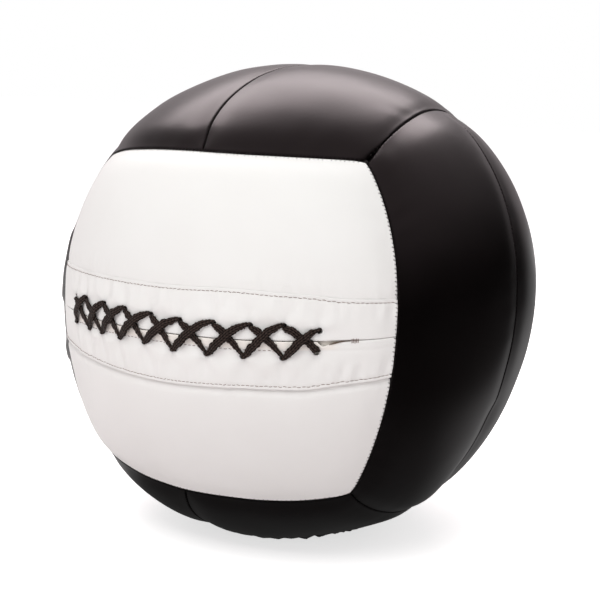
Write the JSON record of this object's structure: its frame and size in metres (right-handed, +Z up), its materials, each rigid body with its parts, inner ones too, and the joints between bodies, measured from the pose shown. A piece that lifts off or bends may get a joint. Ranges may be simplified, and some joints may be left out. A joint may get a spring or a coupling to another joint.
{
  "type": "wall ball",
  "caption": "Soft stuffed exercise ball of padded vinyl panels, with a crossed lace closing the opening on its white face. It is thrown at a wall and caught.",
  "frame": {"origin": "on the floor, under the middle of the ball", "axes": "+Z up, -Y out of the white laced face, +X to the right of that face as it is looked at"},
  "size_m": [0.3419, 0.3458, 0.3404],
  "materials": {
    "black_vinyl": "satin, fine grain",
    "white_vinyl": "satin, fine grain",
    "lace": "matt woven cotton",
    "liner": "matt woven cloth",
    "foam": "matt foam",
    "bag_cloth": "matt woven cloth",
    "fibre": "matt loose fibre",
    "pouch_cloth": "matt canvas",
    "sand": "matt, granular"
  },
  "bodies": {
    "root": {"back_panel_lower": "black_vinyl", "back_panel_upper": "black_vinyl", "top_panel_left": "black_vinyl", "top_panel_right": "black_vinyl", "bottom_panel_left": "black_vinyl", "bottom_panel_right": "black_vinyl", "right_panel_front": "black_vinyl", "right_panel_back": "black_vinyl", "left_panel_front": "black_vinyl", "left_panel_back": "black_vinyl", "front_panel_upper": "white_vinyl", "front_panel_lower": "white_vinyl", "lacing_strip_upper": "white_vinyl", "lacing_strip_lower": "white_vinyl", "back_foam_pad_lower": "foam", "back_foam_pad_upper": "foam", "top_foam_pad_left": "foam", "top_foam_pad_right": "foam", "bottom_foam_pad_left": "foam", "bottom_foam_pad_right": "foam", "right_foam_pad_front": "foam", "right_foam_pad_back": "foam", "left_foam_pad_front": "foam", "left_foam_pad_back": "foam", "front_foam_pad_upper": "foam", "front_foam_pad_lower": "foam", "lacing_tongue": "liner", "lace": "lace", "inner_bag_upper": "bag_cloth", "inner_bag_lower": "bag_cloth", "filling_upper": "fibre", "filling_lower": "fibre", "weight_pouch": "pouch_cloth", "weight_sand": "sand", "pouch_tie": "lace"}
  },
  "joints": []
}
